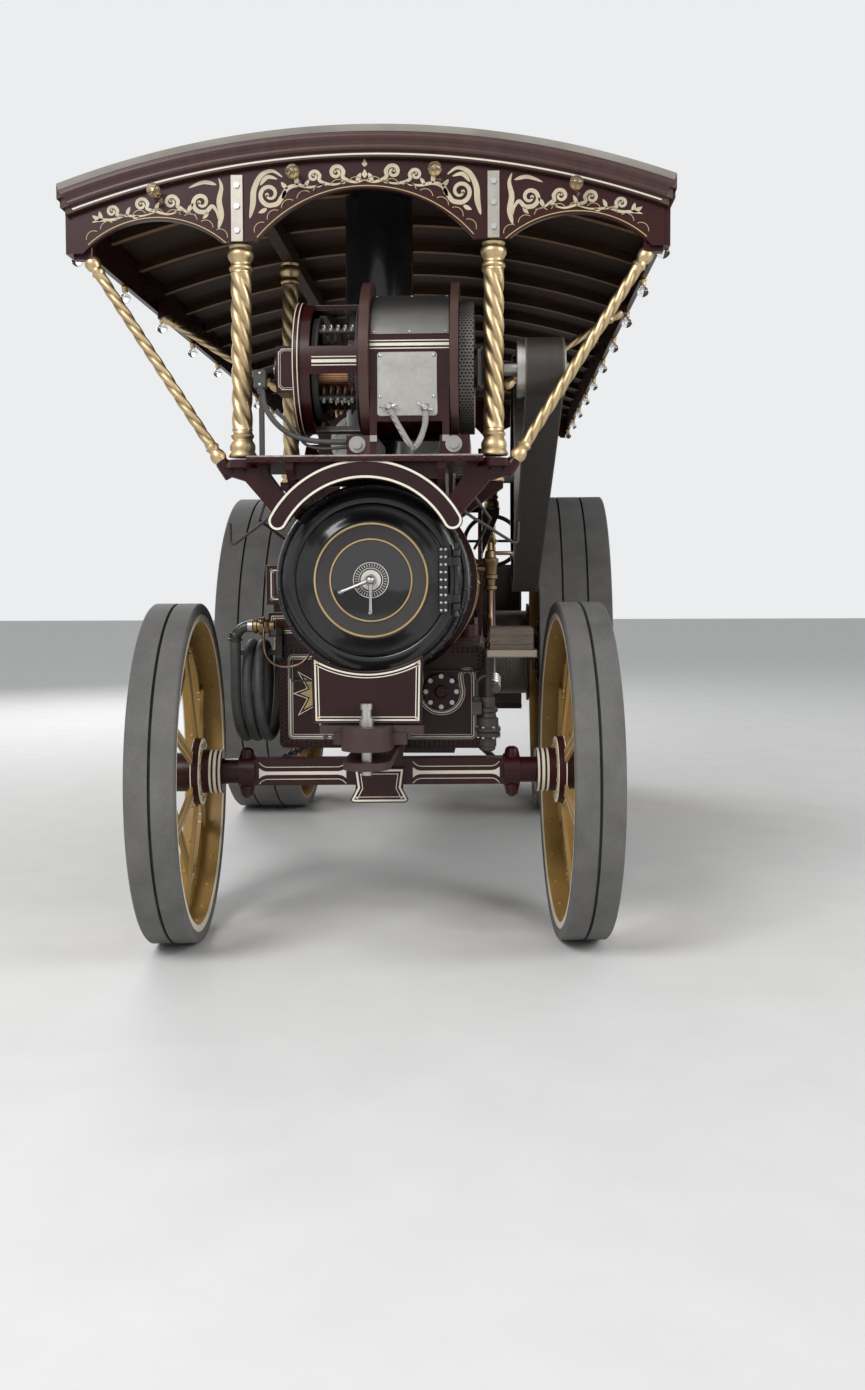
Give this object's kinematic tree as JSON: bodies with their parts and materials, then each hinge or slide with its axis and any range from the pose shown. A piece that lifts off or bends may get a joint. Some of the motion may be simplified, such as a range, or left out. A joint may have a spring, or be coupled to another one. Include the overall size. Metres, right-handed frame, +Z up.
{
  "type": "showman's road locomotive",
  "caption": "Steam traction engine with a full canopy on twisted brass pillars, a belt-driven dynamo on a front platform, rubber-shod spoked wheels and a coal tender",
  "frame": {"origin": "on the ground, under the middle of the whole engine's length and width", "axes": "+X to the engine's nearside, the flywheel side; +Y towards the tender; +Z up; the front axle stands turned 3.49 degrees, its offside end forward"},
  "size_m": [2.432, 6.5152, 3.36],
  "materials": {
    "maroon_paint": "gloss crimson lake, lined out",
    "black_paint": "heat-proof black, half gloss",
    "straw_paint": "gloss straw yellow, lined out",
    "plate_paint": "gloss, blank",
    "brass": "polished",
    "bright_steel": "machined and oiled",
    "dark_iron": "greased casting",
    "tyre_rubber": "smooth solid rubber, dusty",
    "hose_rubber": "ribbed hose, dull",
    "belt_leather": "dark canvas and leather, worn smooth",
    "roof_board": "painted boards and sheet, weathered cream",
    "roof_wood": "varnished",
    "lamp_glass": "clear bulbs in plain holders"
  },
  "bodies": {
    "engine": {"smokebox": "black_paint", "chimney": "black_paint", "boiler": "maroon_paint", "firebox": "maroon_paint", "hornplates": "maroon_paint", "cylinder_block": "maroon_paint", "cylinder_fittings": "brass", "motion": "bright_steel", "motion_covers": "maroon_paint", "gear_cover": "maroon_paint", "belly_tank": "maroon_paint", "perch_bracket": "maroon_paint", "towing_jaw": "black_paint", "number_plate": "plate_paint", "arched_plate": "maroon_paint", "dynamo_bracket": "maroon_paint", "dynamo_field": "maroon_paint", "dynamo_end_frames": "maroon_paint", "canopy_roof": "roof_board", "canopy_ribs": "roof_wood", "canopy_fascias": "maroon_paint", "canopy_valances": "maroon_paint", "front_pillars": "brass", "rear_pillars": "brass", "canopy_stays": "brass", "canopy_lamps": "lamp_glass", "rear_axle": "bright_steel", "winch_drum": "dark_iron", "drive_gears": "dark_iron", "tender": "maroon_paint", "footplate": "maroon_paint", "backhead_fittings": "brass", "drawbar": "black_paint", "steering_gear": "bright_steel", "steering_chains": "bright_steel", "hose_pipe": "brass", "hose_lead": "hose_rubber", "hose_coil": "hose_rubber", "hose_strainer": "brass", "side_lockers": "maroon_paint", "footboard": "maroon_paint", "drive_belt": "belt_leather"},
    "front_axle": {"front_axle": "maroon_paint"},
    "front_wheel_nearside": {"front_wheel_nearside": "straw_paint", "front_tyre_nearside": "tyre_rubber"},
    "front_wheel_offside": {"front_wheel_offside": "straw_paint", "front_tyre_offside": "tyre_rubber"},
    "rear_wheel_nearside": {"rear_wheel_nearside": "straw_paint", "rear_tyre_nearside": "tyre_rubber"},
    "rear_wheel_offside": {"rear_wheel_offside": "straw_paint", "rear_tyre_offside": "tyre_rubber"},
    "crank": {"crankshaft": "bright_steel", "flywheel": "maroon_paint"},
    "dynamo_rotor": {"dynamo_rotor": "bright_steel"},
    "smokebox_door": {"smokebox_door": "black_paint", "door_fittings": "brass"}
  },
  "joints": [
    {"name": "steering", "type": "hinge", "parent": "engine", "child": "front_axle", "pos_m": [0, -2.4922, 0.71], "axis": [0, 0, 1], "range_deg": [-21.5, 14.5], "deforming": ["steering_chains"]},
    {"name": "front_wheel_nearside_spin", "type": "hinge", "parent": "front_axle", "child": "front_wheel_nearside", "pos_m": [0.83844, -2.44107, 0.71], "axis": [0.9981, 0.0609, 0], "continuous": true},
    {"name": "front_wheel_offside_spin", "type": "hinge", "parent": "front_axle", "child": "front_wheel_offside", "pos_m": [-0.83844, -2.54333, 0.71], "axis": [0.9981, 0.0609, 0], "continuous": true},
    {"name": "rear_wheel_nearside_spin", "type": "hinge", "parent": "engine", "child": "rear_wheel_nearside", "pos_m": [0.99, 0.9978, 1.05], "axis": [1, 0, 0], "continuous": true},
    {"name": "rear_wheel_offside_spin", "type": "hinge", "parent": "engine", "child": "rear_wheel_offside", "pos_m": [-0.99, 0.9978, 1.05], "axis": [1, 0, 0], "continuous": true},
    {"name": "crank_spin", "type": "hinge", "parent": "engine", "child": "crank", "pos_m": [0, -0.0922, 2.16], "axis": [1, 0, 0], "continuous": true},
    {"name": "dynamo_spin", "type": "hinge", "parent": "engine", "child": "dynamo_rotor", "pos_m": [0, -2.8422, 2.335], "axis": [1, 0, 0], "continuous": true},
    {"name": "smokebox_door_hinge", "type": "hinge", "parent": "engine", "child": "smokebox_door", "pos_m": [0.335, -2.8402, 1.512], "axis": [0, 0, 1], "range_deg": [0, 60]}
  ],
  "couplings": [
    {"joint": "dynamo_spin", "follows": "crank_spin", "ratio": 6.2727}
  ]
}
